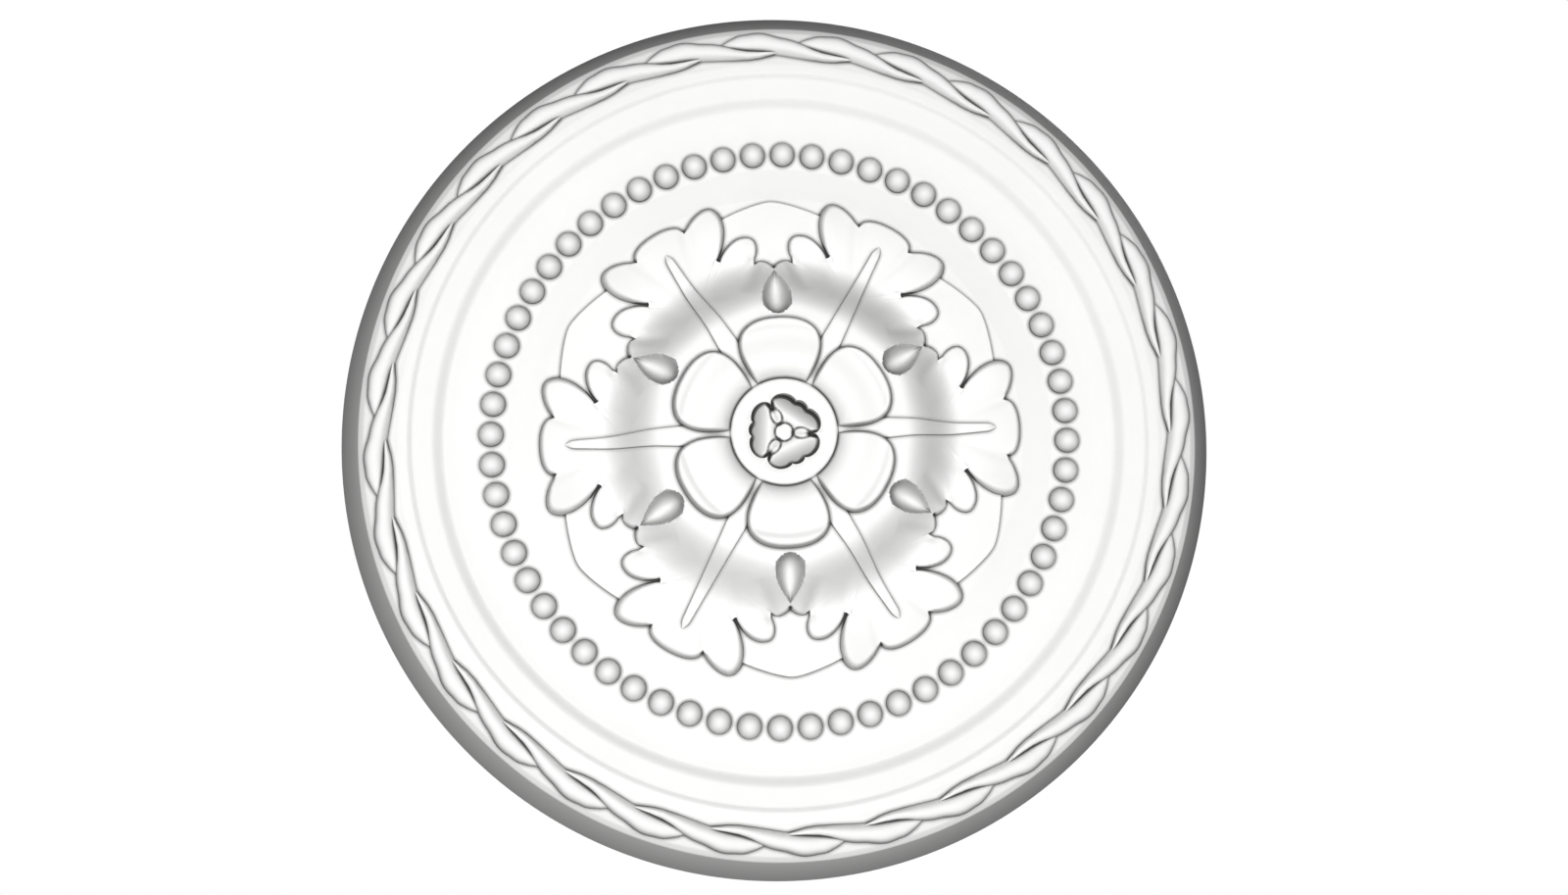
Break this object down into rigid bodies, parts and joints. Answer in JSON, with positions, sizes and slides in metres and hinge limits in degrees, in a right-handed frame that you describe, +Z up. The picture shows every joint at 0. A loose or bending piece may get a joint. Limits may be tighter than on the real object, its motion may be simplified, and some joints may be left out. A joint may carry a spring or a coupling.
{
  "type": "ceiling rose",
  "caption": "Round cast plaster ceiling rose with a rope border, a ring of beads, six carved leaves and a petalled flower, flat on the back.",
  "frame": {"origin": "centre of the flat back, which lies against the ceiling", "axes": "+Z up, out of the flat back into the ceiling; the relief faces down (-Z); one leaf lies along +X"},
  "size_m": [0.6, 0.6, 0.0659],
  "materials": {
    "plaster": "matt white cast plaster, sealed and painted white"
  },
  "bodies": {
    "root": {"ceiling_rose": "plaster"}
  },
  "joints": []
}
